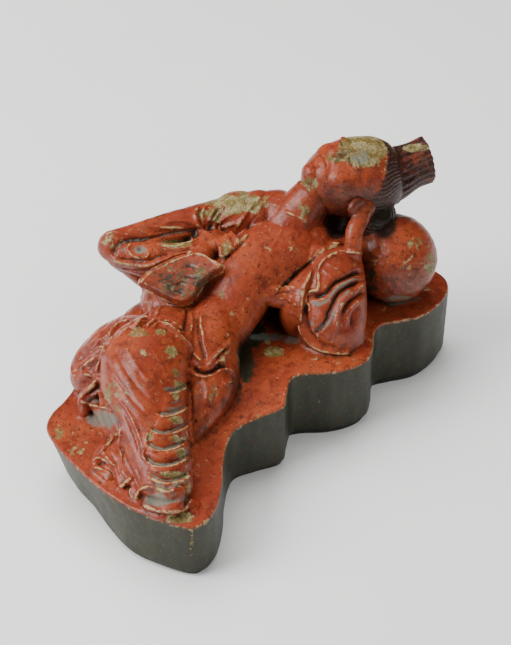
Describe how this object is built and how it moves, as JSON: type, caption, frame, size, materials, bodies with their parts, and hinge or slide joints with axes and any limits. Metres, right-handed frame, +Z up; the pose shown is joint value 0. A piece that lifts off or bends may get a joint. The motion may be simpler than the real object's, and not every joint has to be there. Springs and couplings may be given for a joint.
{
  "type": "reclining woman statuette",
  "caption": "Woman reclining on a low scalloped plinth, one arm propping her head above a round pillow, a leaf-shaped fan at her hip; carved in one and lacquered.",
  "frame": {"origin": "on the floor under the middle of the statuette's box", "axes": "+X from the feet towards the head, +Y from the near side towards the back, +Z up"},
  "size_m": [0.224, 0.1436, 0.1172],
  "materials": {
    "lacquered_wood": "glossy brick-red lacquer, worn to ochre on edges; dark green plinth walls"
  },
  "bodies": {
    "root": {"reclining_woman": "lacquered_wood"}
  },
  "joints": []
}
